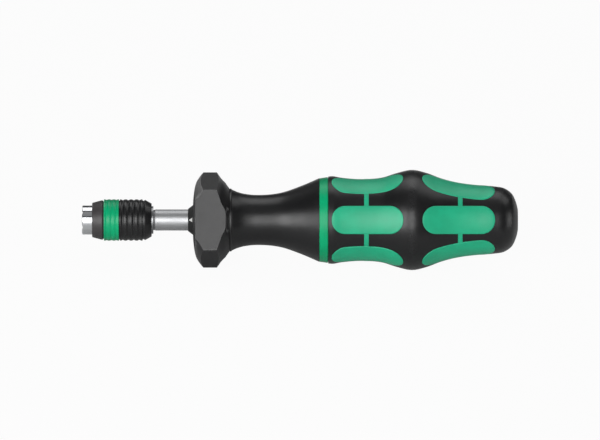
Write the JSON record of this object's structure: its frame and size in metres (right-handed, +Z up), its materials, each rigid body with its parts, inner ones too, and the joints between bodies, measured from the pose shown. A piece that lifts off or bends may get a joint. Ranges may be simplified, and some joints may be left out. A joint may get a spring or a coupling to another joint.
{
  "type": "torque screwdriver",
  "caption": "Preset torque screwdriver with a quick-release hexagon bit chuck, anti-roll collar, waisted neck and six-sided handle with soft grip pads.",
  "frame": {"origin": "centre of the bit socket's mouth, at the tip of the chuck", "axes": "+X along the tool's axis towards the end of the handle, +Z up, with a wide flat of the collar facing down"},
  "size_m": [0.155, 0.0356, 0.034],
  "materials": {
    "hard_plastic": "satin",
    "green_plastic": "satin",
    "green_rubber": "matt",
    "bright_steel": "polished",
    "brushed_shank": "brushed",
    "plain_steel": "ground",
    "bronze": "turned"
  },
  "bodies": {
    "handle": {"anti_roll_collar": "hard_plastic", "front_bush": "bronze", "neck_housing": "hard_plastic", "accent_ring": "green_plastic", "handle_core": "hard_plastic", "front_soft_grip": "green_rubber", "rear_soft_grip": "green_rubber", "clutch_housing": "plain_steel", "rear_bush": "bronze", "thrust_washer": "plain_steel", "rear_plate": "plain_steel", "retaining_ring": "plain_steel", "main_spring": "plain_steel"},
    "spindle": {"spindle": "brushed_shank", "chuck_body": "bright_steel", "stop_washer": "bright_steel", "drive_cam": "plain_steel", "sleeve_spring": "plain_steel", "pusher_spring": "plain_steel"},
    "pusher": {"bit_pusher": "plain_steel"},
    "upper_ball": {"locking_ball_upper": "plain_steel"},
    "lower_ball": {"locking_ball_lower": "plain_steel"},
    "lock_ring": {"lock_ring": "plain_steel"},
    "sleeve": {"sleeve_front": "hard_plastic", "sleeve_colour_ring": "green_plastic", "sleeve_grip": "hard_plastic"},
    "pressure_plate": {"pressure_plate": "plain_steel", "clutch_balls": "plain_steel"},
    "spring_nut": {"spring_nut": "plain_steel"},
    "adjuster": {"adjusting_screw": "plain_steel"}
  },
  "joints": [
    {"name": "spindle_turn", "type": "hinge", "parent": "handle", "child": "spindle", "pos_m": [0, 0, 0], "axis": [1, 0, 0], "continuous": true},
    {"name": "sleeve_slide", "type": "slide", "parent": "spindle", "child": "lock_ring", "axis": [-1, 0, 0], "range_m": [0, 0.0025], "stiffness_N_per_m": 1200, "deforming": ["sleeve_spring"]},
    {"name": "sleeve_spin", "type": "hinge", "parent": "lock_ring", "child": "sleeve", "pos_m": [0, 0, 0], "axis": [1, 0, 0], "continuous": true},
    {"name": "bit_eject", "type": "slide", "parent": "spindle", "child": "pusher", "axis": [1, 0, 0], "range_m": [0, 0.0025], "stiffness_N_per_m": 500, "deforming": ["pusher_spring"]},
    {"name": "upper_ball_lift", "type": "slide", "parent": "spindle", "child": "upper_ball", "axis": [0, 0, 1], "range_m": [0, 0.0004]},
    {"name": "lower_ball_lift", "type": "slide", "parent": "spindle", "child": "lower_ball", "axis": [0, 0, -1], "range_m": [0, 0.0004]},
    {"name": "clutch_lift", "type": "slide", "parent": "handle", "child": "pressure_plate", "axis": [1, 0, 0], "range_m": [-0.0009, 0], "stiffness_N_per_m": 3000, "springref_m": -0.0009},
    {"name": "adjuster_turn", "type": "hinge", "parent": "handle", "child": "adjuster", "pos_m": [0, 0, 0], "axis": [1, 0, 0], "range_deg": [-1080, 1080]},
    {"name": "nut_slide", "type": "slide", "parent": "handle", "child": "spring_nut", "axis": [1, 0, 0], "range_m": [-0.003, 0.003], "deforming": ["main_spring"]}
  ],
  "couplings": [
    {"joint": "upper_ball_lift", "follows": "sleeve_slide", "ratio": 0.16},
    {"joint": "lower_ball_lift", "follows": "sleeve_slide", "ratio": 0.16},
    {"joint": "adjuster_turn", "follows": "nut_slide", "rad_per_m": 6283.2}
  ]
}
